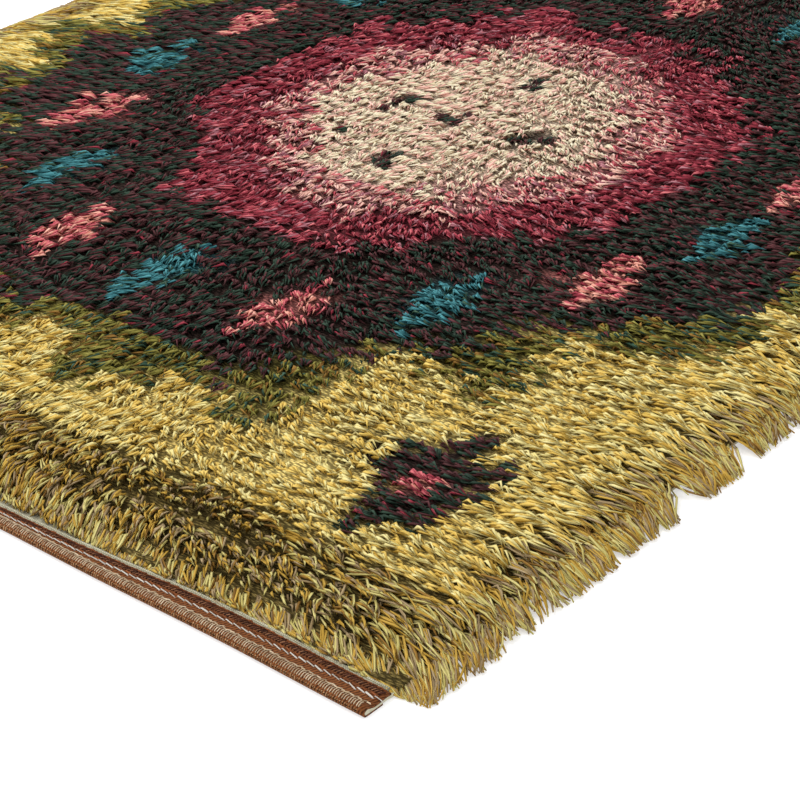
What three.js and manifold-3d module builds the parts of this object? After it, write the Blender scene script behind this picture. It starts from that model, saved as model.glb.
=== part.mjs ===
import * as THREE from "three";
import { mergeVertices } from "three/addons/utils/BufferGeometryUtils.js";
import Module from "manifold-3d";

// A hand-knotted wool rug with a long shaggy pile, laid flat on the floor.
// Lengths are in millimetres and +Z is up. The origin is on the floor under the middle of the rug.
// Y runs along its length. The rows of knots run along X, as do its two ends, each bound in a folded tape.
const RUG_WIDTH = 1060;
const RUG_LENGTH = 1590;
const CLOTH_THICKNESS = 3;
const TAPE_WIDTH = 28.5;
const TAPE_THICKNESS = 1.2;
const PILE_HEIGHT = 20.5;
const LOCK_REACH = 30;
const FIT_GAP = 0.3;
const SLIVER = 0.02;

// The ends are a little wavy. These stretches carry the waves along X.
const END_STEPS = 16;
const END_WAVE = 1.8;
const WAVE_FADE = 90;

// The tape: a rounded outer roll over the hem, a stitched groove, a low inner band and a leaf underneath.
const ROLL = { centre: 4.5, height: 7, reach: 7 };
const GROOVE_HEIGHT = 4.6;
const BAND = { centre: 23.5, rise: 0.6, reach: 6 };
const UNDER_LEAF = 20;
const TAPE_TOP_STEPS = 7;
const FOLD_STEPS = 6;

// The pile starts this far inside the tape and hangs this far past the cloth at the sides.
const PILE_SETBACK = 4.5;
const PILE_OVERHANG = 2;
const PILE_STEPS = { x: 28, y: 38 };
const LUMP_RISE = 2.5;
const SIDE_ROUNDING = { depth: 50, drop: 7 };
const END_ROUNDING = { depth: 36, drop: 9 };

// The rim of the pile: tapered locks that droop past the sides to the floor, and short ones at the ends.
const SIDE_LOCKS = 100;
const END_LOCKS = 26;
const SIDE_LOCK = { width: 13, thickness: 8, inside: 9, rootHeight: 11, tipHeight: 1, bow: 1.5 };
const END_LOCK = { width: 24, thickness: 7, inside: 9, rootHeight: 10, tipHeight: 6.6, bow: 0.5 };
const SIDE_LOCK_SWAY = 0.1;
const END_LOCK_SWAY = 0.1;
const END_LOCK_REACH = 3.5;

const wool = (color, roughness) => new THREE.MeshStandardMaterial({ color, roughness, metalness: 0 });
const PILE_WOOL = wool(0x9a8136, 0.9);
const CLOTH_WOOL = wool(0xb9b3a2, 0.95);
const TAPE_COTTON = wool(0x7a4a2c, 0.85);

const wasm = await Module();
wasm.setup();

// A repeatable number from 0 to 1 for each lock, and one from -1 to 1.
const chance = (index, use) => {
  const raw = Math.sin(index * 12.9898 + use * 78.233) * 43758.5453;
  return raw - Math.floor(raw);
};
const eitherWay = (index, use) => 2 * chance(index, use) - 1;
const smooth = (share) => {
  const held = THREE.MathUtils.clamp(share, 0, 1);
  return held * held * (3 - 2 * held);
};

// How far an end strays along Y at x. side is -1 at the near end and 1 at the far end.
const endWave = (x, side) => END_WAVE * (0.6 * Math.sin(x / 97 + side) + 0.4 * Math.sin(x / 41 + 2 * side));

// Shifts a point's Y with its nearer end, less and less towards the middle of the rug.
function wavedY(x, y) {
  const side = Math.sign(y) || 1;
  const inward = RUG_LENGTH / 2 - Math.abs(y);
  return y + endWave(x, side) * (1 - smooth(inward / WAVE_FADE));
}

// The tape's upper face at a distance in from the end, from the roll's crown to the inner edge.
function tapeTop(inward) {
  const pastCrown = (inward - ROLL.centre) / ROLL.reach;
  const roll = (ROLL.height - GROOVE_HEIGHT) * (1 - smooth(pastCrown));
  const band = BAND.rise * (1 - smooth(Math.abs(inward - BAND.centre) / BAND.reach));
  return GROOVE_HEIGHT + roll + band;
}

// Points of an upright half ellipse at the outer fold, from its lowest point out and round to its highest.
function foldArc(inset, steps) {
  const middle = ROLL.height / 2;
  const points = [];
  for (let i = 0; i <= steps; i += 1) {
    const turn = (Math.PI * i) / steps;
    const inward = ROLL.centre - (ROLL.centre - inset) * Math.sin(turn);
    points.push([inward, middle - (middle - inset) * Math.cos(turn)]);
  }
  return points;
}

const evenly = (from, to, steps) =>
  Array.from({ length: steps + 1 }, (_, i) => THREE.MathUtils.lerp(from, to, i / steps));

// Section of the folded tape as [distance in from the end, height], round its outside and back inside.
function tapeSection() {
  const outer = foldArc(0, FOLD_STEPS);
  const inner = foldArc(TAPE_THICKNESS, FOLD_STEPS).reverse();
  const inwards = evenly(ROLL.centre, TAPE_WIDTH, TAPE_TOP_STEPS).slice(1);
  const top = inwards.map((inward) => [inward, tapeTop(inward)]);
  const under = inwards.map((inward) => [inward, tapeTop(inward) - TAPE_THICKNESS]).reverse();
  return [[UNDER_LEAF, 0], ...outer, ...top, ...under, ...inner, [UNDER_LEAF, TAPE_THICKNESS]];
}

// One end of the cloth's section. It lies on the floor and steps up onto the under leaf inside the fold.
function hemSection() {
  const inset = TAPE_THICKNESS + FIT_GAP;
  const inwards = evenly(ROLL.centre, TAPE_WIDTH, TAPE_TOP_STEPS).slice(1);
  const hemTop = inwards.map((inward) => [inward, tapeTop(inward) - inset]);
  const onLeaf = [UNDER_LEAF + 4, inset];
  const onFloor = [UNDER_LEAF + 16, 0];
  const flush = [TAPE_WIDTH + PILE_SETBACK - 1, CLOTH_THICKNESS];
  return [onFloor, onLeaf, ...foldArc(inset, FOLD_STEPS), ...hemTop, flush];
}

// Extrudes a section of [y, z] points along the rug's width, and lets its ends wave.
function acrossTheRug(section) {
  const shape = new THREE.Shape(section.map(([y, z]) => new THREE.Vector2(y, z)));
  const run = { depth: RUG_WIDTH, steps: END_STEPS, bevelEnabled: false };
  const geometry = new THREE.ExtrudeGeometry(shape, run);
  const position = geometry.getAttribute("position");
  for (let i = 0; i < position.count; i += 1) {
    const x = position.getZ(i) - RUG_WIDTH / 2;
    position.setXYZ(i, x, wavedY(x, position.getX(i)), position.getY(i));
  }
  return geometry;
}

// Places a section measured in from one end. At the far end its order is reversed, so it still faces out.
function atEnd(section, side) {
  const placed = section.map(([inward, height]) => [side * (RUG_LENGTH / 2 - inward), height]);
  return side > 0 ? placed.reverse() : placed;
}

function clothGeometry() {
  const near = atEnd(hemSection(), -1);
  const far = atEnd(hemSection(), 1);
  return acrossTheRug([...near.reverse(), ...far.reverse()].reverse());
}

const tapeGeometry = (side) => acrossTheRug(atEnd(tapeSection(), side));

// The pile's upper face: low waves where the wool lies in clumps, rounded off towards the rim.
function pileTop(x, y) {
  const lump = Math.sin(x / 33 + 1.7 * Math.sin(y / 83)) * Math.cos(y / 29 + 1.3 * Math.sin(x / 71));
  const fromSide = RUG_WIDTH / 2 + PILE_OVERHANG - Math.abs(x);
  const fromEnd = RUG_LENGTH / 2 - TAPE_WIDTH - PILE_SETBACK - Math.abs(y);
  const sideDrop = SIDE_ROUNDING.drop * (1 - smooth(fromSide / SIDE_ROUNDING.depth));
  const endDrop = END_ROUNDING.drop * (1 - smooth(fromEnd / END_ROUNDING.depth));
  return PILE_HEIGHT + LUMP_RISE * lump - Math.max(sideDrop, endDrop);
}

function pileSlab() {
  const width = RUG_WIDTH + 2 * PILE_OVERHANG;
  const length = RUG_LENGTH - 2 * (TAPE_WIDTH + PILE_SETBACK);
  const geometry = new THREE.BoxGeometry(width, length, 1, PILE_STEPS.x, PILE_STEPS.y, 1);
  const position = geometry.getAttribute("position");
  for (let i = 0; i < position.count; i += 1) {
    const [x, y] = [position.getX(i), position.getY(i)];
    const height = position.getZ(i) > 0 ? pileTop(x, y) : CLOTH_THICKNESS + FIT_GAP;
    position.setXYZ(i, x, wavedY(x, y), height);
  }
  return geometry;
}

// One lock of wool: a four-sided point that starts inside the slab and bends down as it goes outwards.
function lockGeometry(form, root, heading, reach) {
  const length = form.inside + reach;
  const geometry = new THREE.ConeGeometry(Math.SQRT1_2, 1, 4, 2).rotateY(Math.PI / 4);
  const position = geometry.getAttribute("position");
  const [ahead, aside] = [Math.cos(heading), Math.sin(heading)];
  for (let i = 0; i < position.count; i += 1) {
    const along = position.getY(i) + 0.5;
    const across = position.getX(i) * form.width * (1 + 0.5 * along);
    const out = along * length - form.inside;
    const droop = THREE.MathUtils.lerp(form.rootHeight, form.tipHeight, along);
    const height = droop + 4 * form.bow * along * (1 - along) + position.getZ(i) * form.thickness;
    const x = root.x + out * ahead + across * aside;
    const y = root.y + out * aside - across * ahead;
    position.setXYZ(i, x, y, height);
  }
  return geometry;
}

// Locks along both sides fan outwards from the middle of the rug, as the pile lies.
function* sideLocks() {
  const span = RUG_LENGTH - 2 * (TAPE_WIDTH + PILE_SETBACK) - SIDE_LOCK.width * 2;
  for (const side of [-1, 1]) {
    for (let i = 0; i < SIDE_LOCKS; i += 1) {
      const y = span * ((i + 0.5) / SIDE_LOCKS - 0.5);
      const root = { x: side * (RUG_WIDTH / 2 + PILE_OVERHANG), y: wavedY(side * (RUG_WIDTH / 2), y) };
      const fan = Math.atan2(y, RUG_LENGTH) + SIDE_LOCK_SWAY * Math.sin(y / 57 + side);
      const heading = side > 0 ? fan : Math.PI - fan;
      const reach = LOCK_REACH * (0.8 + 0.2 * chance(i, 3 + side));
      yield lockGeometry(SIDE_LOCK, root, heading, i % 29 === 7 ? LOCK_REACH : reach);
    }
  }
}

// Short locks at the ends lean over the bare strip of cloth beside the tape.
function* endLocks() {
  for (const side of [-1, 1]) {
    for (let i = 0; i < END_LOCKS; i += 1) {
      const x = (RUG_WIDTH - 2 * END_LOCK.width) * ((i + 0.5) / END_LOCKS - 0.5);
      const y = wavedY(x, side * (RUG_LENGTH / 2 - TAPE_WIDTH - PILE_SETBACK));
      const heading = side * (Math.PI / 2) + END_LOCK_SWAY * eitherWay(i, 5 + side);
      yield lockGeometry(END_LOCK, { x, y }, heading, END_LOCK_REACH - 1.5 * chance(i, 7 + side));
    }
  }
}

function solidOf(geometry) {
  geometry.deleteAttribute("normal");
  geometry.deleteAttribute("uv");
  const merged = mergeVertices(geometry, 1e-3);
  const vertProperties = new Float32Array(merged.getAttribute("position").array);
  const triVerts = new Uint32Array(merged.index.array);
  return new wasm.Manifold(new wasm.Mesh({ numProp: 3, vertProperties, triVerts }));
}

function geometryOf(solid) {
  const { vertProperties, triVerts } = solid.getMesh();
  const geometry = new THREE.BufferGeometry();
  geometry.setAttribute("position", new THREE.BufferAttribute(new Float32Array(vertProperties), 3));
  geometry.setIndex(new THREE.BufferAttribute(new Uint32Array(triVerts), 1));
  geometry.computeVertexNormals();
  return geometry;
}

function pileGeometry() {
  let pile = solidOf(pileSlab());
  for (const lock of [...sideLocks(), ...endLocks()]) pile = pile.add(solidOf(lock));
  // Slivers where locks graze the slab or each other are merged into their neighbours.
  return geometryOf(pile.asOriginal().simplify(SLIVER));
}

function piece(name, geometry, material) {
  const mesh = new THREE.Mesh(geometry, material);
  mesh.name = name;
  return mesh;
}

const rug = new THREE.Group();
rug.name = "hand_knotted_rug";
rug.add(piece("ground_cloth", clothGeometry(), CLOTH_WOOL));
rug.add(piece("pile", pileGeometry(), PILE_WOOL));
rug.add(piece("near_end_tape", tapeGeometry(-1), TAPE_COTTON));
rug.add(piece("far_end_tape", tapeGeometry(1), TAPE_COTTON));

export default rug;
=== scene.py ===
import math

import bmesh
import bpy
import numpy as np
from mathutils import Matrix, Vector


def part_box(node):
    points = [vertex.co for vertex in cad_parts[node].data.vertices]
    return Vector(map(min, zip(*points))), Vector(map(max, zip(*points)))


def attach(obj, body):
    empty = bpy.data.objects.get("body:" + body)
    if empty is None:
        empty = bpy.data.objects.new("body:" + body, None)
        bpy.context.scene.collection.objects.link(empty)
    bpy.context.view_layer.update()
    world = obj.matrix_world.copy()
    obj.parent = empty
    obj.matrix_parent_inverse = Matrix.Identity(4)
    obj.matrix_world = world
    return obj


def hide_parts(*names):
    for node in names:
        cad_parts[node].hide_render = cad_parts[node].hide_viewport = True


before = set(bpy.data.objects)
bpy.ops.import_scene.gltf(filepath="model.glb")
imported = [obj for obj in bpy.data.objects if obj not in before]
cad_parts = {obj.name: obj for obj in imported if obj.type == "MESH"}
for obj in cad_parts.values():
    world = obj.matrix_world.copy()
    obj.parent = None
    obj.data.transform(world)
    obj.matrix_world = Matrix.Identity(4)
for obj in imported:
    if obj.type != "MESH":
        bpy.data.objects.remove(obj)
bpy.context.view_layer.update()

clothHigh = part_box("ground_cloth")[1]

# metres throughout; Y is the rug's length, and rows of knots run along X
rug = {
    "halfWidth": clothHigh.x,
    "halfLength": 0.795,
    "tapeWidth": 0.0285,
    "bareStrip": 0.0045,    # cloth left bare between tape and pile
    "clothTop": 0.003,
    "endWave": 0.0018,      # how far the bound ends wander
    "waves": ((0.6, 97), (0.4, 41)),    # two waves in that: the share of each and its run in millimetres
    "waveFade": 0.09,       # how far in from the end the rows still follow it
    # where the tape rolls over and narrows, how far apart that comes, how far it runs, how much is lost
    "rolledOver": (0.15, 0.70, 0.27, 0.36),
}


def smooth(share):
    share = np.clip(share, 0, 1)
    return share * share * (3 - 2 * share)


def endWave(x, side):
    mm = np.asarray(x) * 1000
    (share1, run1), (share2, run2) = rug["waves"]
    return rug["endWave"] * (share1 * np.sin(mm / run1 + side) + share2 * np.sin(mm / run2 + 2 * side))


def wavedY(x, y):
    side = np.where(np.asarray(y) < 0, -1.0, 1.0)
    inward = rug["halfLength"] - np.abs(y)
    return y + endWave(x, side) * (1 - smooth(inward / rug["waveFade"]))


def tapeShare(x):
    # the share of its full width that the tape shows at x
    first, apart, reach, most = rug["rolledOver"]
    away = np.abs(np.mod(np.asarray(x) - first + apart / 2, apart) - apart / 2)
    return 1 - most * (1 - smooth(away / reach))


def nearSide(x, depth):
    # 1 at the cloth's two sides, 0 from the given depth inwards
    return 1 - smooth((rug["halfWidth"] - np.abs(x)) / depth)


def blobs(x, y, height, size, seed):
    # soft random hills of the given height either way, about the given size across
    cells = 64
    table = np.random.default_rng(seed).uniform(-1, 1, (cells, cells))
    gx, gy = np.asarray(x) / size + 200.3, np.asarray(y) / size + 200.7     # the shift keeps both above zero
    ix, iy = np.floor(gx).astype(int), np.floor(gy).astype(int)
    fx, fy = smooth(gx - ix), smooth(gy - iy)
    ix0, ix1, iy0, iy1 = ix % cells, (ix + 1) % cells, iy % cells, (iy + 1) % cells
    low = table[ix0, iy0] * (1 - fx) + table[ix1, iy0] * fx
    high = table[ix0, iy1] * (1 - fx) + table[ix1, iy1] * fx
    return height * (low * (1 - fy) + high * fy)


# a stepped octagon inside an olive border, with small stepped diamonds in the field's corners
design = {
    "step": (0.03, 0.034),              # three knots by two rows
    "octagon": (0.42, 0.53, 1.40),      # half width, half length, how far the corners are cut
    "wander": (0.035, 0.045, 21),       # how far the hand-knotted outlines stray, over what length, seed
    "edgeWander": (0.012, 0.05, 22),    # the same for the field's edge, in metres
    "cream": 0.32,                      # outer edge of each ring as a share of the octagon
    "blush": 0.42,
    "crimson": 0.57,
    "dark": 0.97,
    "teeth": 20,
    "toothHeight": 0.15,
    "lozenges": 18,
    "lozengeRing": 0.79,
    "lozengeSize": (0.026, 0.068),
    "specks": (0.08, 0.013, 0.12, 0.03),    # dark diamonds on the cream: apart and half size in X, then in Y
    "speckMargin": 0.05,
    "fieldHalf": (0.485, 0.662),
    "cornerDiamond": (0.375, 0.56, 0.058),
    "cornerSquash": 0.8,
    "cornerHeart": 0.42,
}
zoneNames = ["border", "field", "olive", "dark", "teal", "rose", "crimson", "blush", "cream"]
zoneOf = {name: i for i, name in enumerate(zoneNames)}


def octagonNorm(x, y):
    a, b, cut = design["octagon"]
    x, y = np.abs(x) / a, np.abs(y) / b
    return np.maximum(np.maximum(x, y), (x + y) / cut)


def zoneAt(x, y):
    stepX, stepY = design["step"]
    sx = (np.floor(np.abs(x) / stepX) + 0.5) * stepX
    sy = (np.floor(np.abs(y) / stepY) + 0.5) * stepY
    ring = octagonNorm(sx, sy) + blobs(x, y, *design["wander"])
    zone = np.full(np.shape(x), zoneOf["border"])
    edge = blobs(x, y, *design["edgeWander"])
    fieldX, fieldY = design["fieldHalf"]
    inField = (np.abs(x) + edge < fieldX) & (np.abs(y) + edge < fieldY)
    zone[inField] = zoneOf["field"]

    # teeth round the octagon
    a, b, _ = design["octagon"]
    turn = np.arctan2(np.asarray(y) / b, np.asarray(x) / a) / (2 * math.pi) * design["teeth"]
    tooth = 1 - 2 * np.abs(turn - np.floor(turn) - 0.5)
    zone[inField & (ring < 1 + design["toothHeight"] * tooth)] = zoneOf["olive"]
    zone[ring < design["dark"]] = zoneOf["dark"]

    # upright lozenges in the dark ring
    halfX, halfY = design["lozengeSize"]
    for i in range(design["lozenges"]):
        angle = 2 * math.pi * (i + 0.5) / design["lozenges"]
        cx, cy = a * math.cos(angle), b * math.sin(angle)
        scale = design["lozengeRing"] / float(octagonNorm(cx, cy))
        near = np.abs(x - cx * scale) / halfX + np.abs(y - cy * scale) / halfY
        zone[near < 1] = zoneOf["teal" if i % 2 else "rose"]

    for colour in ("crimson", "blush", "cream"):
        zone[ring < design[colour]] = zoneOf[colour]

    # small dark diamonds in rows on the cream
    apartX, speckX, apartY, speckY = design["specks"]
    speck = (np.abs(np.mod(np.asarray(x) + apartX / 2, apartX) - apartX / 2) / speckX
             + np.abs(np.mod(np.asarray(y) + apartY / 2, apartY) - apartY / 2) / speckY)
    zone[(ring < design["cream"] - design["speckMargin"]) & (speck < 1)] = zoneOf["dark"]

    cx, cy, size = design["cornerDiamond"]
    corner = np.abs(sx - cx) + np.abs(sy - cy) * design["cornerSquash"]
    zone[corner < size] = zoneOf["dark"]
    zone[corner < size * design["cornerHeart"]] = zoneOf["rose"]
    return zone


# yarn: dark tone, light tone as linear colours
yarns = {
    "gold": ((0.36, 0.215, 0.028), (0.57, 0.365, 0.070)),
    "straw": ((0.42, 0.355, 0.105), (0.64, 0.56, 0.225)),
    "taupe": ((0.23, 0.16, 0.075), (0.41, 0.305, 0.17)),
    "amber": ((0.17, 0.085, 0.016), (0.33, 0.18, 0.035)),
    "honey": ((0.60, 0.405, 0.080), (0.76, 0.55, 0.15)),
    "maize": ((0.66, 0.555, 0.20), (0.79, 0.70, 0.33)),
    "olive": ((0.12, 0.105, 0.016), (0.29, 0.26, 0.058)),
    "petrol": ((0.018, 0.042, 0.024), (0.050, 0.105, 0.068)),
    "aubergine": ((0.045, 0.016, 0.016), (0.12, 0.036, 0.040)),
    "bottleGreen": ((0.012, 0.026, 0.017), (0.034, 0.066, 0.043)),
    "teal": ((0.022, 0.11, 0.125), (0.085, 0.30, 0.33)),
    "rose": ((0.40, 0.055, 0.080), (0.68, 0.18, 0.19)),
    "salmon": ((0.60, 0.22, 0.16), (0.86, 0.47, 0.37)),
    "crimson": ((0.17, 0.015, 0.026), (0.32, 0.042, 0.062)),
    "mauve": ((0.25, 0.080, 0.10), (0.50, 0.22, 0.25)),
    "blush": ((0.66, 0.34, 0.27), (0.90, 0.62, 0.52)),
    "cream": ((0.76, 0.65, 0.45), (0.82, 0.74, 0.55)),
}
# share of each yarn in a zone's knots
blend = {
    "border": {"gold": 0.34, "straw": 0.31, "taupe": 0.24, "amber": 0.11},
    "field": {"honey": 0.47, "maize": 0.44, "gold": 0.09},
    "olive": {"olive": 0.58, "petrol": 0.22, "amber": 0.20},
    "dark": {"aubergine": 0.48, "bottleGreen": 0.49, "crimson": 0.03},
    "teal": {"teal": 0.82, "petrol": 0.18},
    "rose": {"rose": 0.46, "salmon": 0.40, "crimson": 0.14},
    "crimson": {"crimson": 0.62, "mauve": 0.16, "rose": 0.22},
    "blush": {"blush": 0.50, "rose": 0.28, "mauve": 0.22},
    "cream": {"cream": 0.62, "blush": 0.38},
}


pile = {
    "seed": 41,
    "colourSeed": 77,
    "inset": (0.004, 0.003),            # how far in from the sides and from the bare strip the last knots sit
    "slack": 0.002,                     # how far past those an end may still be rooted
    "rowPitch": 0.017,
    "knotPitch": 0.0092,
    "knotStray": (0.0012, 0.0010),      # how far a knot sits from its place, along its row and across it
    "spread": (0.0044, 0.0036),         # how far from their knot's middle its ends are rooted
    "colourStray": 0.004,               # how far the knots mix across the design's outlines
    "endsPerKnot": 8,
    "shortPerKnot": 2,                  # lower ends that fill the pile under the others
    "shortBack": (0.001, 0.010),        # how far behind the others they are rooted
    "shortHeight": (0.35, 0.75),        # their share of the pile's height
    "fuller": 0.20,                     # and how much more that is outside the border
    "longHeight": (0.86, 1.0),
    "calm": 0.45,                       # unevenness outside the border, as a share of the border's
    "rimEnds": 2500,                    # extra ends that thicken each side's rim
    "rimDepth": (-0.002, 0.012),        # how far in they are rooted
    "tapeEnds": 1400,                   # and beside each tape
    "tapeDepth": (0.045, 1.6),          # how far in, and how much they crowd towards the tape
    "edgeTurn": 0.1,
    "edgeHeight": (0.30, 0.95),
    "radius": 0.00145,
    "fineRadius": 0.00102,              # in the border and the rim
    "reach": (0.020, 0.032),
    "shortReach": 0.75,
    "sideReach": (0.50, 0.20),          # how much further the ends reach at the sides, from how far in
    "gather": 0.60,                     # how far the ends of one knot close up towards their tips
    "rootHeight": 0.005,
    "height": 0.0205,
    "lump": 0.0025,
    "lumpX": (0.033, 1.7, 0.083),       # run of the lumps along X, and how much and over what run they bend
    "lumpY": (0.029, 1.3, 0.071),
    "uneven": (0.0012, 0.0010),         # how much the knots, and the ends in one knot, differ in height
    "unruly": (0.12, 0.07),             # how far each knot, and each end in it, turns from the rest, radians
    "sideDrop": (0.05, 0.006),          # how far in it starts and how much the pile falls by the side
    "endDrop": (0.036, 0.0150),
    "overhang": 0.032,                  # locks past the cloth at the sides
    "hang": 2.2,                        # how late past the side they go down to the floor
    "onFloor": 0.0018,                  # their top where they lie on it
    "rimBand": 0.05,                    # how far in the rim's own lean and locks start
    "tuft": 0.019,                      # size of the wisps that neighbouring ends lean together into
    "tuftPull": 0.12,
    "tuftTurn": 0.10,
    "tuftLift": 0.0010,
    "tuftShift": 0.25,
    "lockPull": 0.55,
    # places where the rim's locks part: which side, at what y, how far
    "partings": [(1, -0.436, 0.030), (1, -0.352, 0.022), (1, 0.21, 0.022),
                 (-1, -0.27, 0.026), (-1, 0.48, 0.022)],
    "partingDepth": 0.07,
    "partingReach": 0.016,
    "stripFree": (0.75, 1.3),           # how much of the bare strip the tips leave free
    "lockEnds": (0.82, 1.0),
    "lockHills": (0.06, 0.05, 12),      # how much shorter whole stretches of the rim are, how long, seed
    "bow": (0.18, 0.014, 15),           # how far neighbouring ends bow sideways together
    "ownBow": 0.11,
    # which way the pile lies, in degrees from +X, and where and over what distance that changes
    "lean": {
        "middle": -86,
        "right": (72, 0.08, 0.06),      # how much it turns, past what x, how gradually
        "slant": (0.14, 0.25, 0.30),    # how much further right at the near end, from what -y, over what
        "left": (50, 0.12, 0.40),       # how much it turns the other way, past what -x, over what
        "nearEnd": (-62, 0.04, 0.10),
        "nearRight": (24, 0.28, 0.15),
        "farEnd": (70, 0.045, 0.035),
        "outward": (-28, -150),         # over the right side and over the left one
        "swirls": ((0.30, 0.080, 5), (0.20, 0.034, 6)),     # radians, size, seed
    },
    # from what x and over what distance it lies combed along its rows, the share of each turn
    # and pull that it loses there, and how much more its knots close up
    "combed": {"place": (0.15, 0.15), "swirl": 0.45, "unruly": 0.4, "tuftTurn": 0.6, "tuftPull": 0.7,
               "gather": 0.25},
    # rows that part into open furrows, with higher and shorter ends beside them
    "furrow": {
        "hills": (1, 0.11, 8),          # height, length, seed
        "open": (0.05, 0.5),            # from what hill height, over what rise
        "middle": 0.65,                 # how much weaker they are away from the ends
        "ends": (0.70, 0.10),           # up to what y that is, and over what distance they come in
        "ridge": 0.0042,
        "level": 0.3,
        "shorter": 0.35,
    },
    # how one cut end bends; the powers say how early along it each thing happens
    "bend": {
        "bowPower": 0.8,
        "alongPower": 1.12,
        "upPower": 2.1,
        "tipDip": 0.0006,
        "hangsFrom": 0.012,             # how far past the cloth it counts as hanging
        "hangsEven": 0.8,               # how much of its own lift it loses there
        "rimRoot": 0.0014,
        "lowestRoot": 0.0042,
        "droopFrom": 0.5,               # where along it a hanging end droops, to what height, how much
        "droopTo": 0.0022,
        "droopShare": 0.75,
        "overFloor": 0.0016,
    },
}


def pileTop(x, y):
    # the pile's upper face, rounded off at the ends and falling to the floor past the sides
    runX, bendX, overY = pile["lumpX"]
    runY, bendY, overX = pile["lumpY"]
    lump = np.sin(x / runX + bendX * np.sin(y / overY)) * np.cos(y / runY + bendY * np.sin(x / overX))
    fromSide = rug["halfWidth"] - np.abs(x)
    fromEnd = rug["halfLength"] - rug["tapeWidth"] * tapeShare(x) - rug["bareStrip"] - np.abs(y)
    depth, drop = pile["sideDrop"]
    top = pile["height"] + pile["lump"] * lump - drop * (1 - smooth(fromSide / depth))
    depth, drop = pile["endDrop"]
    top = top - drop * (1 - smooth(fromEnd / depth))
    past = np.clip(-fromSide / (pile["overhang"] + 0.001), 0, 1)
    return pile["onFloor"] + (top - pile["onFloor"]) * (1 - past ** pile["hang"])


def combed(x):
    # on the right the pile lies along its rows, which leaves furrows open between them
    start, reach = pile["combed"]["place"]
    return smooth((np.asarray(x) - start) / reach)


def pileLean(x, y):
    # towards the near end on the left, turning to the right past a slanting line, with swirls in it
    lean = pile["lean"]
    turn, turnsAt, width = lean["right"]
    more, start, reach = lean["slant"]
    turnsAt = turnsAt + more * smooth((-y - start) / reach)
    turned = 0.5 + 0.5 * np.tanh((x - turnsAt) / width)
    back, start, reach = lean["left"]
    angle = np.radians(lean["middle"] + turn * turned - back * smooth((-start - x) / reach))

    toEnd, depth, width = lean["nearEnd"]
    turn, start, reach = lean["nearRight"]
    atEnd = 1 - smooth((rug["halfLength"] - depth + y) / width)
    angle = angle + (np.radians(toEnd + turn * smooth((x - start) / reach)) - angle) * atEnd
    toEnd, depth, width = lean["farEnd"]
    atEnd = 1 - smooth((rug["halfLength"] - depth - y) / width)
    angle = angle + (math.radians(toEnd) - angle) * atEnd

    right, left = lean["outward"]
    outward = np.where(x > 0, math.radians(right), math.radians(left))
    angle = angle + (outward - angle) * nearSide(x, pile["rimBand"])
    swirl = sum(blobs(x, y, *one) for one in lean["swirls"])
    return angle + swirl * (1 - pile["combed"]["swirl"] * combed(x))


def knotEnds(rng, sideX, endY):
    # the cut ends of all the knots, row after row
    rows = np.linspace(-endY, endY, round(2 * endY / pile["rowPitch"]) + 1)
    knots = np.linspace(-sideX, sideX, int(2 * sideX / pile["knotPitch"]))
    knotX, knotY = np.meshgrid(knots, rows)
    number = knotX.size
    alongRow, acrossRow = pile["knotStray"]
    knotX = knotX.ravel() + rng.normal(0, alongRow, number)
    knotY = knotY.ravel() + rng.normal(0, acrossRow, number)
    long, short = pile["endsPerKnot"], pile["shortPerKnot"]
    count = long + short
    isShort = np.tile(np.arange(count) >= long, number)
    spreadX, spreadY = pile["spread"]
    offX = rng.uniform(-spreadX, spreadX, number * count)
    offY = rng.uniform(-spreadY, spreadY, number * count)
    x, y = np.repeat(knotX, count) + offX, np.repeat(knotY, count) + offY
    y = y - isShort * rng.uniform(*pile["shortBack"], len(y))
    row = np.repeat(np.repeat(np.arange(len(rows)), len(knots)), count)
    knotTurn = np.repeat(rng.normal(0, pile["unruly"][0], number), count)
    knotLift = np.repeat(rng.normal(0, pile["uneven"][0], number), count)
    strayX, strayY = rng.normal(0, pile["colourStray"], (2, number))
    zone = np.repeat(zoneAt(knotX + strayX, knotY + strayY), count)
    rough = np.where(zone == zoneOf["border"], 1.0, pile["calm"])
    filled = rng.uniform(*pile["shortHeight"], len(x)) + pile["fuller"] * (zone != zoneOf["border"])
    under = np.where(isShort, filled, rng.uniform(*pile["longHeight"], len(x)))
    return {"x": x, "y": y, "offX": offX, "offY": offY, "row": row, "knotTurn": knotTurn,
            "knotLift": knotLift, "zone": zone, "rough": rough, "under": under, "short": isShort}


def edgeEnds(rng, sideX, endY):
    # the sides' and the ends' own yarns, at every height down to the floor or the bare strip
    extra, more = pile["rimEnds"], pile["tapeEnds"]
    rimX = np.repeat([-1.0, 1.0], extra) * (sideX - rng.uniform(*pile["rimDepth"], 2 * extra))
    rimY = rng.uniform(-endY, endY, 2 * extra)
    depth, crowd = pile["tapeDepth"]
    tapeX = rng.uniform(-sideX, sideX, 2 * more)
    tapeY = np.repeat([-1.0, 1.0], more) * (endY - depth * rng.uniform(0, 1, 2 * more) ** crowd)
    x, y = np.concatenate([rimX, tapeX]), np.concatenate([rimY, tapeY])
    number = len(x)
    row = np.round((y + endY) / pile["rowPitch"]).astype(int)
    knotTurn = rng.normal(0, pile["edgeTurn"], number)
    under = rng.uniform(*pile["edgeHeight"], number)
    return {"x": x, "y": y, "offX": 0 * x, "offY": 0 * x, "row": row, "knotTurn": knotTurn,
            "knotLift": np.zeros(number), "zone": zoneAt(x, y), "rough": np.ones(number), "under": under,
            "short": np.zeros(number, bool)}


def shareTo(start, end, limit):
    # the share of the way from start to end that stays inside the limit
    share = np.clip((limit - start) / np.maximum(end - start, 1e-6), 0.1, 1)
    return np.where(end > limit, share, 1)


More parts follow.
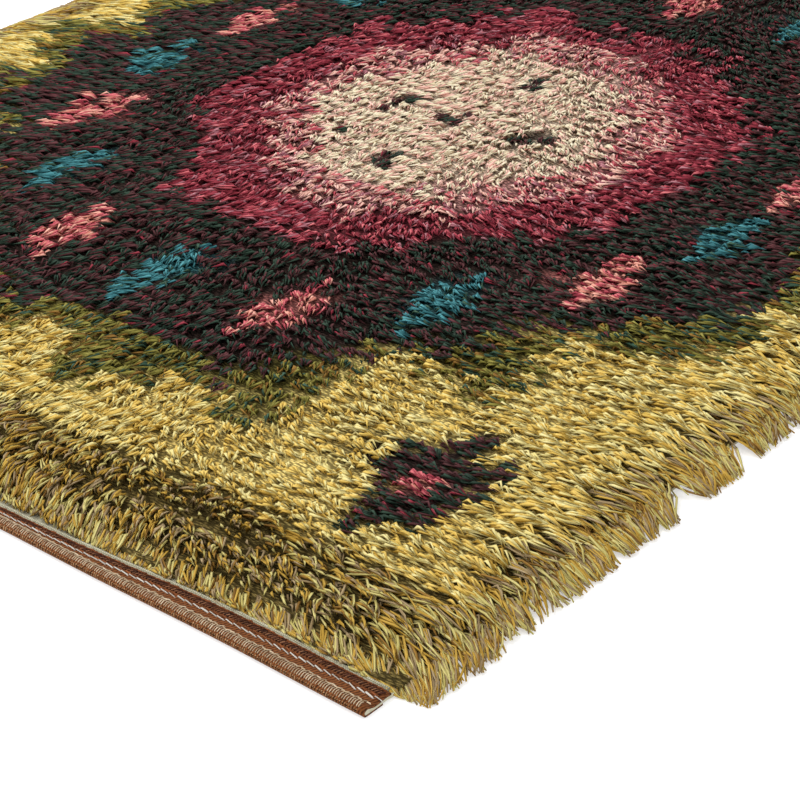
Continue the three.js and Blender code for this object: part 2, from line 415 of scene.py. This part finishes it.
def heldBack(rng, x, y, tipX, tipY):
    # no end reaches over the tape, and none hangs further out than the rim's longest locks
    strip = rug["bareStrip"] * rng.uniform(*pile["stripFree"], len(x))
    stop = rug["halfLength"] - rug["tapeWidth"] * tapeShare(x) - strip
    over = shareTo(np.abs(y), np.abs(tipY), stop)
    tipX, tipY = x + (tipX - x) * (0.35 + 0.65 * over), y + (tipY - y) * over
    longest = pile["overhang"] * (1 - pile["lockHills"][0] + blobs(y, x * 0, *pile["lockHills"]))
    limitX = rug["halfWidth"] + longest * rng.uniform(*pile["lockEnds"], len(x))
    out = shareTo(np.abs(x), np.abs(tipX), limitX)
    return x + (tipX - x) * out, y + (tipY - y) * out


def plantPile(rng):
    # one entry for each cut yarn end: where it is rooted, where its tip lies, how high it lies, and its zone
    insetX, insetY = pile["inset"]
    sideX = rug["halfWidth"] - insetX
    endY = rug["halfLength"] - rug["tapeWidth"] - rug["bareStrip"] - insetY
    ofKnots, ofEdges = knotEnds(rng, sideX, endY), edgeEnds(rng, sideX, endY)
    ends = {key: np.concatenate([ofKnots[key], ofEdges[key]]) for key in ofKnots}
    x = np.clip(ends["x"], -sideX - pile["slack"], sideX + pile["slack"])
    y = np.clip(ends["y"], -endY - pile["slack"], endY + pile["slack"])
    offX, offY, rough = ends["offX"], ends["offY"], ends["rough"]
    number = len(x)

    neat, share = pile["combed"], combed(x)
    turn = ends["knotTurn"] + rng.normal(0, pile["unruly"][1], number)
    angle = pileLean(x - offX, y - offY) + turn * (1 - neat["unruly"] * share)

    # furrows: each row has hills of its own, and it opens beside the high ones
    furrow = pile["furrow"]
    endsAt, comeIn = furrow["ends"]
    atEnd = 1 - furrow["middle"] * smooth((endsAt - np.abs(y)) / comeIn)
    start, rise = furrow["open"]
    hills = blobs(x, ends["row"] * furrow["hills"][1], *furrow["hills"])
    beside = smooth((hills - start) / rise) * atEnd * rough
    lift = furrow["ridge"] * (beside - furrow["level"]) + ends["knotLift"]
    lift = (lift + rng.normal(0, pile["uneven"][1], number)) * rough
    longer, depth = pile["sideReach"]
    reach = rng.uniform(*pile["reach"], number) * (1 - furrow["shorter"] * beside)
    reach = reach * (1 + longer * nearSide(x, depth))
    reach = np.where(ends["short"], pile["shortReach"] * reach, reach)

    # tufts: neighbouring ends lean together into one wisp
    size, cells = pile["tuft"], 200
    table = rng.uniform(-1, 1, (4, cells, cells))
    cellX, cellY = np.floor(x / size).astype(int), np.floor(y / size).astype(int)
    turned, lifted, shiftX, shiftY = table[:, cellX + cells // 2, cellY + cells // 2]
    angle = angle + pile["tuftTurn"] * turned * (1 - neat["tuftTurn"] * share)
    lift = lift + pile["tuftLift"] * lifted
    centreX = (cellX + 0.5 + pile["tuftShift"] * shiftX) * size
    centreY = (cellY + 0.5 + pile["tuftShift"] * shiftY) * size
    inRim = nearSide(x, pile["rimBand"])
    pull = pile["tuftPull"] * (1 - neat["tuftPull"] * share)
    pull = pull + (pile["lockPull"] - pull) * inRim
    gather = pile["gather"] + neat["gather"] * share
    tipX = x + reach * np.cos(angle) + pull * (centreX - x) - gather * offX
    tipY = y + reach * np.sin(angle) + pull * (centreY - y) - gather * offY

    # partings in the rim, where the locks fall away to either side
    for side, at, width in pile["partings"]:
        near = (np.sign(x) == side) & (np.abs(x) > rug["halfWidth"] - pile["partingDepth"])
        away = y - at
        tipY = tipY + near * np.sign(away) * width * np.exp(-np.abs(away) / pile["partingReach"]) * inRim

    tipX, tipY = heldBack(rng, x, y, tipX, tipY)
    bow = blobs(tipX, tipY, *pile["bow"]) + rng.normal(0, pile["ownBow"], number)
    return {"x": x, "y": y, "tipX": tipX, "tipY": tipY, "lift": lift, "under": ends["under"], "bow": bow,
            "short": ends["short"], "zone": ends["zone"]}


def bendYarn(plant, pick, stations):
    # points along each picked end: up out of the cloth, then lying along the pile's top
    keys = ("x", "y", "tipX", "tipY", "lift", "under", "bow")
    x0, y0, x1, y1, lift, under, bow = (plant[key][pick][:, None] for key in keys)
    t, bend = np.asarray(stations)[None, :], pile["bend"]
    bow = bow * np.sin(math.pi * t ** bend["bowPower"])
    along = t ** bend["alongPower"]
    x = x0 + (x1 - x0) * along - (y1 - y0) * bow
    y = y0 + (y1 - y0) * along + (x1 - x0) * bow
    outside = smooth((np.abs(x) - rug["halfWidth"]) / bend["hangsFrom"])
    top = pileTop(x, y) + lift * (1 - bend["hangsEven"] * outside)
    root = pile["rootHeight"] * (1 - outside) + bend["rimRoot"] * outside
    root = np.minimum(root, np.maximum(top - 0.001, bend["lowestRoot"] - outside))
    top = root + np.maximum(top - root, 0) * under
    z = root + (top - root) * (1 - (1 - t) ** bend["upPower"]) - bend["tipDip"] * t ** 4
    droop = smooth((np.abs(x1) - rug["halfWidth"]) / pile["overhang"])
    droop = droop * smooth((t - bend["droopFrom"]) / (1 - bend["droopFrom"]))
    z = z + (bend["droopTo"] - z) * bend["droopShare"] * droop
    return np.stack([x, wavedY(x, y), np.maximum(z, bend["overFloor"])], -1)


shadeSteps = 12     # so many strips side by side in the yarns' UV map, one tone each


def addPiece(name, mesh, material, rounded=True):
    mesh.polygons.foreach_set("use_smooth", np.full(len(mesh.polygons), rounded))
    piece = bpy.data.objects.new(name, mesh)
    bpy.context.scene.collection.objects.link(piece)
    mesh.materials.append(material)
    return piece


def yarnMesh(name, paths, rng, radius, material, taper=1.0, pointed=False):
    # three-sided yarns along their paths, from a point at the root to a cut or pointed end
    count, points, _ = paths.shape
    rings = points - 2 if pointed else points - 1
    tangent = np.gradient(paths, axis=1)[:, 1:rings + 1]
    tangent /= np.linalg.norm(tangent, axis=2, keepdims=True) + 1e-12
    side = np.cross(tangent, [0.0, 0.0, 1.0])
    side /= np.linalg.norm(side, axis=2, keepdims=True) + 1e-9
    over = np.cross(side, tangent)
    turn = rng.uniform(0, 2 * math.pi, count)[:, None, None] + np.arange(3)[None, None, :] * 2 * math.pi / 3
    spread = np.cos(turn)[..., None] * side[:, :, None, :] + np.sin(turn)[..., None] * over[:, :, None, :]
    thick = (radius * rng.uniform(0.85, 1.15, count))[:, None]
    thick = thick * np.append(np.ones(rings - 1), 1 if pointed else taper)
    skin = paths[:, 1:rings + 1, None, :] + spread * thick[:, :, None, None]
    skin[..., 2] = np.maximum(skin[..., 2], 0.0003)     # a hair over the floor
    verts = np.concatenate([paths[:, :1], skin.reshape(count, rings * 3, 3)], 1)
    if pointed:
        verts = np.concatenate([verts, paths[:, -1:]], 1)

    # one yarn's faces and their places in the UV map: around it in U, along it in V
    faces, lay, lengths, tip = [], [], points - 1, 1 + 3 * rings
    for j in range(3):
        a, b, u0, u1 = 1 + j, 1 + (j + 1) % 3, j / 3, (j + 1) / 3
        faces.append((0, a, b))
        lay.append((((u0 + u1) / 2, 0), (u0, 1 / lengths), (u1, 1 / lengths)))
        for k in range(1, rings):
            v0, v1 = k / lengths, (k + 1) / lengths
            faces += [(a, a + 3, b + 3), (a, b + 3, b)]
            lay += [((u0, v0), (u0, v1), (u1, v1)), ((u0, v0), (u1, v1), (u1, v0))]
            a, b = a + 3, b + 3
        if pointed:
            faces.append((a, tip, b))
            lay.append(((u0, rings / lengths), ((u0 + u1) / 2, 1), (u1, rings / lengths)))
    if not pointed:
        faces.append((tip - 3, tip - 1, tip - 2))
        lay.append(((0, 1), (0.5, 0.98), (1, 1)))
    faces = np.array(faces)[None] + (np.arange(count) * verts.shape[1])[:, None, None]
    lay = np.array(lay)
    shade = rng.integers(0, shadeSteps, count)
    u = (shade[:, None, None] + 0.06 + 0.88 * lay[None, :, :, 0]) / shadeSteps
    uv = np.stack([u, np.broadcast_to(lay[None, :, :, 1], u.shape)], -1)

    mesh = bpy.data.meshes.new(name)
    mesh.from_pydata(verts.reshape(-1, 3), [], faces.reshape(-1, 3))
    mesh.uv_layers.new(name="OFBake").data.foreach_set("uv", uv.astype(np.float32).ravel())
    return addPiece(name, mesh, material)


def wire(tree, node, sockets):
    # each named socket is set to a value or wired to another node's output
    for socket, value in sockets.items():
        if isinstance(value, bpy.types.NodeSocket):
            tree.links.new(value, node.inputs[socket])
        else:
            node.inputs[socket].default_value = value
    return node


def addNode(tree, kind, sockets=None, **settings):
    node = tree.nodes.new(kind)
    for setting, value in settings.items():
        setattr(node, setting, value)
    return wire(tree, node, sockets or {})


def newMaterial(name, sockets):
    material = bpy.data.materials.new(name)
    material.use_nodes = True
    tree = material.node_tree
    return material, tree, wire(tree, tree.nodes["Principled BSDF"], sockets)


def mapLevel(tree, value, before, after, **settings):
    sockets = {"From Min": before[0], "From Max": before[1], "To Min": after[0], "To Max": after[1],
               "Value": value}
    return addNode(tree, "ShaderNodeMapRange", sockets, **settings).outputs["Result"]


def mixTones(tree, dark, light, share):
    sockets = {"A": (*dark, 1), "B": (*light, 1), "Factor": share}
    return addNode(tree, "ShaderNodeMix", sockets, data_type="RGBA", clamp_factor=True).outputs["Result"]


def scaleTone(tree, tone, level):
    sockets = {"Vector": tone, "Scale": level}
    return addNode(tree, "ShaderNodeVectorMath", sockets, operation="SCALE").outputs["Vector"]


def finishShader(tree, shader, colour, height, strength, distance, sunken=False):
    # the colour, and a bump that stands up, or sinks, where the height is large
    bump = addNode(tree, "ShaderNodeBump", {"Strength": strength, "Distance": distance, "Height": height},
                   invert=sunken)
    wire(tree, shader, {"Base Color": colour, "Normal": bump.outputs["Normal"]})


def woolMaterial(name, dark, light, paintedRootShade, sheen=0.20):
    # a soft two-ply wool: painted shade darkens it towards the root, deep in the pile, and it is a little
    # lighter at the cut end; each yarn a little lighter or darker than the next
    material, tree, shader = newMaterial(name, {"Roughness": 0.72, "Specular IOR Level": 0.15,
                                                "Sheen Weight": sheen, "Sheen Roughness": 0.45,
                                                "Sheen Tint": (*light, 1)})
    lay = addNode(tree, "ShaderNodeUVMap", uv_map="OFBake")
    split = addNode(tree, "ShaderNodeSeparateXYZ", {"Vector": lay.outputs["UV"]})

    def sums(kind, *values):
        return addNode(tree, "ShaderNodeMath", dict(enumerate(values)), operation=kind).outputs["Value"]

    cell = sums("MULTIPLY", split.outputs["X"], shadeSteps)
    shade = sums("DIVIDE", sums("FLOOR", cell), shadeSteps - 1)
    around = sums("FRACT", cell)
    along = split.outputs["Y"]
    # two plies twist round each yarn: a stripe of each ply's own tone, with painted shade in the groove
    # between them
    twist = sums("ADD", sums("MULTIPLY", along, 1.5), sums("MULTIPLY", around, 2))
    ply = sums("SINE", sums("MULTIPLY", twist, 2 * math.pi))
    mixed = sums("ADD", sums("MULTIPLY", shade, 0.8), sums("MULTIPLY", ply, 0.22))
    tone = mixTones(tree, dark, light, mixed)
    # painted shade along the yarn: from the root's level at the root to 1.05 at the cut end
    level = mapLevel(tree, along, (0.15, 0.95), (paintedRootShade, 1.05), interpolation_type="SMOOTHSTEP")
    finishShader(tree, shader, scaleTone(tree, tone, level), ply, 0.35, 0.0004)
    return material


def plainCloth(name, dark, light, ribScale, ribTurn, depth, sheen):
    # a woven cloth with fine ribs, straight or turned
    material, tree, shader = newMaterial(name, {"Roughness": 0.9, "Specular IOR Level": 0.1,
                                                "Sheen Weight": sheen})
    place = addNode(tree, "ShaderNodeTexCoord").outputs["Object"]
    turned = addNode(tree, "ShaderNodeMapping", {"Rotation": (0, 0, ribTurn), "Vector": place})
    ribs = addNode(tree, "ShaderNodeTexWave", {"Scale": ribScale, "Distortion": 1.2, "Detail": 1.5,
                                               "Detail Scale": 2.0, "Vector": turned.outputs["Vector"]},
                   bands_direction="X")
    patches = addNode(tree, "ShaderNodeTexNoise", {"Scale": 420, "Detail": 4, "Vector": place})
    both = addNode(tree, "ShaderNodeMath", {0: ribs.outputs["Fac"], 1: 0.5, 2: patches.outputs["Fac"]},
                   operation="MULTIPLY_ADD").outputs["Value"]
    tone = mixTones(tree, dark, light, mapLevel(tree, both, (0.40, 1.05), (0, 1)))
    finishShader(tree, shader, tone, both, 0.6, depth)
    return material


print("planting the pile")
pileRng = np.random.default_rng(pile["seed"])
plant = plantPile(pileRng)
picker = np.random.default_rng(pile["colourSeed"]).uniform(0, 1, len(plant["x"]))
yarnOf = np.empty(len(plant["x"]), int)
yarnNames = list(yarns)
for zone, shares in blend.items():
    here = plant["zone"] == zoneOf[zone]
    edges = np.cumsum(list(shares.values()))
    chosen = np.searchsorted(edges / edges[-1], picker[here])
    yarnOf[here] = np.array([yarnNames.index(yarn) for yarn in shares])[np.clip(chosen, 0, len(shares) - 1)]

overRim = (np.abs(plant["tipX"]) > rug["halfWidth"] - 0.002) & ~plant["short"]
inBorder = plant["zone"] == zoneOf["border"]
# which ends, the stations along each, and their radius
groups = {
    "field": (~overRim & ~plant["short"] & ~inBorder, [0.10, 0.58, 1.0], pile["radius"]),
    "border": (~overRim & ~plant["short"] & inBorder, [0.08, 0.42, 0.80, 1.0], pile["fineRadius"]),
    "under": (plant["short"], [0.05, 0.60, 1.0], pile["radius"]),
    "rim": (overRim, [0.06, 0.42, 0.76, 1.0], pile["fineRadius"]),
}
# the painted shade's level at the root of each yarn, in the border and elsewhere
paintedRootShades = {"border": 0.95, "others": 1.05}
triangles = 0
for index, yarn in enumerate(yarnNames):
    paintedRootShade = paintedRootShades["border" if yarn in blend["border"] else "others"]
    material = woolMaterial(yarn + "_wool", *yarns[yarn], paintedRootShade)
    for group, (members, stations, radius) in groups.items():
        pick = np.flatnonzero(members & (yarnOf == index))
        if not len(pick):
            continue
        paths = bendYarn(plant, pick, stations)
        piece = yarnMesh(f"{yarn}_yarn_{group}", paths, pileRng, radius, material, 0.6, group != "rim")
        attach(piece, "root")
        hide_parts("pile")
        triangles += len(piece.data.polygons)
        print(piece.name, len(pick), "ends", len(piece.data.polygons), "triangles")
print("yarn triangles", triangles)


print("knotted base under the pile")
base = {
    "cell": 0.028,
    "height": 0.0095,
    "edge": (0.0044, 0.045),    # how much lower it is at its edges, and from how far in
    "denser": 0.0030,           # how much higher outside the border
    "rough": 0.0018,
    "seed": 3,
    # painted shade level of each zone's base: below one darkens it, above one lightens it
    "tone": {"border": 0.44, "field": 1.20, "cream": 1.0},
    "otherShadeLevel": 0.65,
}


def shadedBaseTones():
    # the mean colour of each zone's yarns, scaled by a painted shade level for each zone, as it lies deep in
    # the pile
    tones = []
    for zone in zoneNames:
        shares = blend[zone]
        mixed = sum(np.array(yarns[yarn]).mean(0) * share for yarn, share in shares.items())
        mixed = mixed / sum(shares.values())
        tones.append([*(mixed * base["tone"].get(zone, base["otherShadeLevel"])), 1.0])
    return np.array(tones)


def baseMesh():
    halfX = rug["halfWidth"] + 0.001
    halfY = rug["halfLength"] - rug["tapeWidth"] - rug["bareStrip"] - 0.001
    nx, ny = int(2 * halfX / base["cell"]), int(2 * halfY / base["cell"])
    acrossX, alongY = np.linspace(-halfX, halfX, nx + 1), np.linspace(-halfY, halfY, ny + 1)
    gx, gy = np.meshgrid(acrossX, alongY, indexing="ij")
    edge = np.minimum(halfX - np.abs(gx), halfY - np.abs(gy))
    lower, reach = base["edge"]
    height = base["height"] - lower * (1 - smooth(edge / reach))
    zones = zoneAt(gx.ravel(), gy.ravel())
    height = height + base["denser"] * (zones.reshape(gx.shape) != zoneOf["border"])
    height = height + base["rough"] * np.random.default_rng(base["seed"]).uniform(-1, 1, gx.shape)
    top = np.stack([gx, wavedY(gx, gy), height], -1).reshape(-1, 3)
    low = np.stack([gx, wavedY(gx, gy), np.full(gx.shape, rug["clothTop"] + 0.0003)], -1).reshape(-1, 3)

    def at(i, j):
        return i * (ny + 1) + j

    i, j = np.meshgrid(np.arange(nx), np.arange(ny), indexing="ij")
    i, j = i.ravel(), j.ravel()
    quads = np.stack([at(i, j), at(i + 1, j), at(i + 1, j + 1), at(i, j + 1)], -1)
    under = quads[:, ::-1] + len(top)
    walls = []
    a = np.arange(nx)
    b = np.arange(ny)
    for first, second in ((at(a, 0), at(a + 1, 0)), (at(a + 1, ny), at(a, ny)),
                          (at(0, b + 1), at(0, b)), (at(nx, b), at(nx, b + 1))):
        walls.append(np.stack([second, first, first + len(top), second + len(top)], -1))
    mesh = bpy.data.meshes.new("knotted_base")
    mesh.from_pydata(np.concatenate([top, low]), [], np.concatenate([quads, under, *walls]))
    tint = mesh.color_attributes.new("shadedYarnTint", "FLOAT_COLOR", "POINT")
    colours = shadedBaseTones()[zones]
    tint.data.foreach_set("color", np.concatenate([colours, colours]).astype(np.float32).ravel())
    return mesh


def rootsMaterial():
    # the tops of the shortest ends deep in the pile: small dabs, painted lighter at their middles, with
    # painted shade in the gaps between them
    material, tree, shader = newMaterial("knotted_roots", {"Roughness": 0.95, "Specular IOR Level": 0.05})
    tint = addNode(tree, "ShaderNodeAttribute", attribute_name="shadedYarnTint")
    place = addNode(tree, "ShaderNodeTexCoord").outputs["Object"]
    turn = (0, 0, math.radians(48))
    drawn = addNode(tree, "ShaderNodeMapping", {"Rotation": turn, "Scale": (1.0, 2.6, 1.0), "Vector": place})
    dabs = addNode(tree, "ShaderNodeTexVoronoi", {"Scale": 200, "Vector": drawn.outputs["Vector"]})
    away = dabs.outputs["Distance"]
    # painted light and shade: 1.5 times the tint at each dab's middle, 0.3 times in the gaps
    tone = scaleTone(tree, tint.outputs["Color"], mapLevel(tree, away, (0.10, 0.60), (1.5, 0.30)))
    finishShader(tree, shader, tone, away, 0.9, 0.002, sunken=True)
    return material


knottedBase = addPiece("knotted_base", baseMesh(), rootsMaterial())
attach(knottedBase, "root")
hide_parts("pile")


print("ground cloth")
groundWool = plainCloth("ground_weave_wool", (0.22, 0.21, 0.14), (0.50, 0.47, 0.34),
                        ribScale=190, ribTurn=0, depth=0.0004, sheen=0.2)
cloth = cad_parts["ground_cloth"]
cloth.data.materials.clear()
cloth.data.materials.append(groundWool)


print("end tapes and their sewing")
tape = {
    "crownIn": 0.0045,      # the outer roll's crown, in from the end
    "crownHigh": 0.007,
    "foldRadius": 0.004,    # of the roll's outer face, for distances down it
    "outerFace": 0.0123,
    "rollReach": 0.007,
    "rollWidth": 0.006,     # what stays as it is where the tape narrows
    "groove": 0.0046,
    "band": (0.0235, 0.0006, 0.006),
    "ridge": (0.0182, 0.0006, 0.0016),
    "thick": 0.0012,
    "leaf": 0.020,
    "alongSteps": 90,
}


def tapeTop(inward):
    roll = 1 - smooth((inward - tape["crownIn"]) / tape["rollReach"])
    at, rise, reach = tape["band"]
    band = rise * (1 - smooth(np.abs(inward - at) / reach))
    at, rise, reach = tape["ridge"]
    ridge = rise * np.exp(-((inward - at) / reach) ** 2)
    return tape["groove"] + (tape["crownHigh"] - tape["groove"]) * roll + band + ridge


def onBand(inward, x):
    # the roll keeps its width and the band inside it gives way
    full, roll = rug["tapeWidth"], tape["rollWidth"]
    return inward - (1 - tapeShare(x)) * full * smooth((inward - roll) / (full - roll))


def onTape(s, x, side, raised):
    # s runs over the tape from the roll's crown: negative down its outer face, positive to the inner edge
    s, x = np.broadcast_arrays(s, x)
    c, h = tape["crownIn"], tape["crownHigh"] / 2
    turn = np.clip(math.pi + s / tape["foldRadius"], 0.05, math.pi)
    inward = np.maximum(c + s, c)
    nudge = 0.0002
    slope = (tapeTop(inward + nudge) - tapeTop(inward - nudge)) / (2 * nudge)
    length = np.sqrt(1 + slope ** 2)
    inTop, highTop = inward - raised * slope / length, tapeTop(inward) + raised / length
    inFold, highFold = c - (c + raised) * np.sin(turn), h - (h + raised) * np.cos(turn)
    inward, high = np.where(s < 0, inFold, inTop), np.where(s < 0, highFold, highTop)
    y = side * (rug["halfLength"] - onBand(inward, x))
    return np.stack([x, wavedY(x, y), np.maximum(high, 0.0002)], -1)


def tapeMesh(name, side, material):
    inner = rug["tapeWidth"] - tape["crownIn"]
    outside = np.concatenate([np.linspace(-tape["outerFace"], 0, 9), np.linspace(0, inner, 22)[1:]])
    inside = outside[::-1][::3]
    x = np.linspace(-rug["halfWidth"], rug["halfWidth"], tape["alongSteps"] + 1)[:, None]
    skin = onTape(outside[None], x, side, 0.0)
    lining = onTape(inside[None], x, side, -tape["thick"])
    leafY = side * (rug["halfLength"] - onBand(tape["leaf"], x))
    leaf = [np.stack([x, wavedY(x, leafY), np.full_like(x, z)], -1) for z in (tape["thick"], 0.0)]
    ring = np.concatenate([skin, lining, *leaf], 1)
    across = ring.shape[1]
    i, j = np.meshgrid(np.arange(len(x) - 1), np.arange(across), indexing="ij")
    i, j = i.ravel(), j.ravel()
    k = (j + 1) % across
    quads = np.stack([i * across + j, (i + 1) * across + j, (i + 1) * across + k, i * across + k], -1)
    caps = [list(range(across)), list(range((len(x) - 1) * across, len(x) * across))[::-1]]
    if side > 0:
        quads, caps = quads[:, ::-1], [cap[::-1] for cap in caps]
    mesh = bpy.data.meshes.new(name)
    mesh.from_pydata(ring.reshape(-1, 3), [], [*quads.tolist(), *caps])
    work = bmesh.new()
    work.from_mesh(mesh)
    bmesh.ops.triangulate(work, faces=[f for f in work.faces if len(f.verts) > 4])
    bmesh.ops.recalc_face_normals(work, faces=work.faces)
    work.to_mesh(mesh)
    work.free()
    return addPiece(name, mesh, material)


# rows of stitches: how far apart, where the first one is, from where to where over the tape,
# how far each slants along it, its radius and its thread
stitches = {
    "lower_whip": (0.0020, 0.0, -0.0066, -0.0036, -0.0004, 0.00055, "fawn"),
    "upper_whip": (0.0021, 0.0005, -0.0030, 0.0054, -0.0020, 0.00047, "ecru"),
    "scalloped_thread": (0.0036, 0.0, 0.0052, 0.0068, 0.0042, 0.00065, "ecru"),
    "running_stitch": (0.0075, 0.001, 0.0140, 0.0124, 0.0094, 0.00064, "white"),
    "ridge_cord": (0.0075, 0.004, 0.0160, 0.0146, 0.0072, 0.00090, "rust"),
    "braid_dark": (0.0028, 0.0, 0.0168, 0.0224, 0.0026, 0.00085, "umber"),
    "braid_tick": (0.0028, 0.0014, 0.0172, 0.0214, 0.0018, 0.00042, "tan"),
    "edge_cord": (0.0042, 0.0, 0.0228, 0.0238, 0.0048, 0.00070, "rust"),
}
sewing = {
    "margin": (0.002, 0.004),       # left free at the tape's two ends
    "uneven": (0.00012, 0.00025, 0.00035),      # stray along the tape, and of each stitch's two ends
    "scallop": 0.0009,
    "sunk": (0.45, -0.8),           # how high a stitch lies in its middle and at its ends, in radii
}
threads = {
    "rust": ((0.12, 0.034, 0.009), (0.27, 0.080, 0.022)),
    "fawn": ((0.27, 0.14, 0.060), (0.50, 0.31, 0.16)),
    "ecru": ((0.42, 0.31, 0.19), (0.68, 0.55, 0.39)),
    "white": ((0.44, 0.41, 0.36), (0.66, 0.63, 0.57)),
    "umber": ((0.030, 0.008, 0.003), (0.080, 0.022, 0.009)),
    "tan": ((0.20, 0.080, 0.032), (0.42, 0.20, 0.10)),
}
tapeCotton = plainCloth("twill_tape_cotton", (0.040, 0.011, 0.003), (0.21, 0.072, 0.022),
                        ribScale=130, ribTurn=0.5, depth=0.0006, sheen=0.02)
for node, side in (("near_end_tape", -1), ("far_end_tape", 1)):
    piece = tapeMesh(node.replace("_tape", "_binding"), side, tapeCotton)
    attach(piece, "root")
    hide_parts(node)
threadWool = {}
for thread, tones in threads.items():
    # the stitches get the same painted shade, a little darker where each one starts
    threadWool[thread] = woolMaterial(thread + "_thread", *tones, 0.9, sheen=0.05)
for name, (pitch, first, lowest, highest, slant, radius, thread) in stitches.items():
    rng = np.random.default_rng(len(name))
    startFree, endFree = sewing["margin"]
    starts = np.arange(-rug["halfWidth"] + startFree + first, rug["halfWidth"] - endFree, pitch)
    t = np.array([0.0, 0.12, 0.50, 0.88, 1.0] if name == "upper_whip" else [0.0, 0.18, 0.82, 1.0])
    stray, strayLow, strayHigh = sewing["uneven"]
    paths = []
    for side in (-1, 1):
        at = starts + rng.normal(0, stray, len(starts))
        lower = lowest + rng.normal(0, strayLow, len(at))
        upper = highest + rng.normal(0, strayHigh, len(at))
        if name == "scalloped_thread":
            swing = sewing["scallop"] * np.where(np.arange(len(at)) % 2, 1, -1)
            lower, upper = lower - swing, upper + swing
        s = lower[:, None] + (upper - lower)[:, None] * t
        x = at[:, None] + slant * t * (1 if side < 0 else -1)
        raised = radius * np.where((t > 0) & (t < 1), *sewing["sunk"])[None]
        paths.append(onTape(s, x, side, np.broadcast_to(raised, s.shape)))
    piece = yarnMesh(name, np.concatenate(paths), rng, radius, threadWool[thread])
    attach(piece, "root")
    print(name, len(piece.data.polygons), "triangles")


print("bare weft cords beside the tapes")
weft = {
    "cords": (0.0012, 0.0030),      # how far in from the tape each one lies
    "radius": 0.0011,
    "step": 0.012,
    "ends": 0.004,
    "wave": (0.0002, 900),
    "seed": 6,
}
cordEnd = rug["halfWidth"] - weft["ends"]
cordX = np.linspace(-cordEnd, cordEnd, int(2 * rug["halfWidth"] / weft["step"]))
cordPaths = []
for side in (-1, 1):
    for inward in weft["cords"]:
        y = side * (rug["halfLength"] - rug["tapeWidth"] * tapeShare(cordX) - inward)
        z = rug["clothTop"] + weft["radius"] + weft["wave"][0] * np.sin(cordX * weft["wave"][1])
        cordPaths.append(np.stack([cordX, wavedY(cordX, y), z], -1))
weftRng = np.random.default_rng(weft["seed"])
weftCords = yarnMesh("bare_weft_cords", np.stack(cordPaths), weftRng, weft["radius"], groundWool)
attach(weftCords, "root")


print("floor, light and camera")
room = {
    "floorHalf": 15.0,
    "floorTone": 0.60,
    "floorGlow": 0.50,
    "sky": 0.98,
    # where each lamp stands, where it points, its size and its watts
    "softbox": ((-1.2, -0.6, 2.6), (0.1, -0.2, 0), 1.1, 36.0),
    "fill": ((-0.7, -2.5, 1.6), (-0.1, -0.7, 0), 1.6, 22.0),
}
half = room["floorHalf"]
floorMesh = bpy.data.meshes.new("floor")
corners = [(-half, -half, 0), (half, -half, 0), (half, half, 0), (-half, half, 0)]
floorMesh.from_pydata(corners, [], [(0, 1, 2, 3)])
whitePaper = newMaterial("white_paper", {"Base Color": (room["floorTone"],) * 3 + (1,), "Roughness": 0.9,
                                         "Specular IOR Level": 0.1, "Emission Color": (1, 1, 1, 1),
                                         "Emission Strength": room["floorGlow"]})[0]
floor = addPiece("floor", floorMesh, whitePaper, rounded=False)

world = bpy.data.worlds.new("studio")
bpy.context.scene.world = world
world.use_nodes = True
world.node_tree.nodes["Background"].inputs["Color"].default_value = (1.0, 1.0, 1.0, 1)
world.node_tree.nodes["Background"].inputs["Strength"].default_value = room["sky"]

for name in ("softbox", "fill"):
    place, target, size, watts = room[name]
    data = bpy.data.lights.new(name, "AREA")
    data.energy = watts
    data.size = size
    lamp = bpy.data.objects.new(name, data)
    bpy.context.scene.collection.objects.link(lamp)
    lamp.location = place
    lamp.rotation_mode = "QUATERNION"
    lamp.rotation_quaternion = (Vector(target) - Vector(place)).to_track_quat("-Z", "Y")

shot = {"place": (1.337, -1.745, 0.958), "heading": 39.3, "down": 29.99, "lens": 108}
cameraData = bpy.data.cameras.new("photo")
cameraData.lens = shot["lens"]
cameraData.sensor_width = 36
camera = bpy.data.objects.new("photo", cameraData)
bpy.context.scene.collection.objects.link(camera)
camera.location = shot["place"]
camera.rotation_euler = (math.radians(90 - shot["down"]), 0, math.radians(shot["heading"]))
bpy.context.scene.camera = camera
bpy.context.scene.view_settings.view_transform = "Standard"
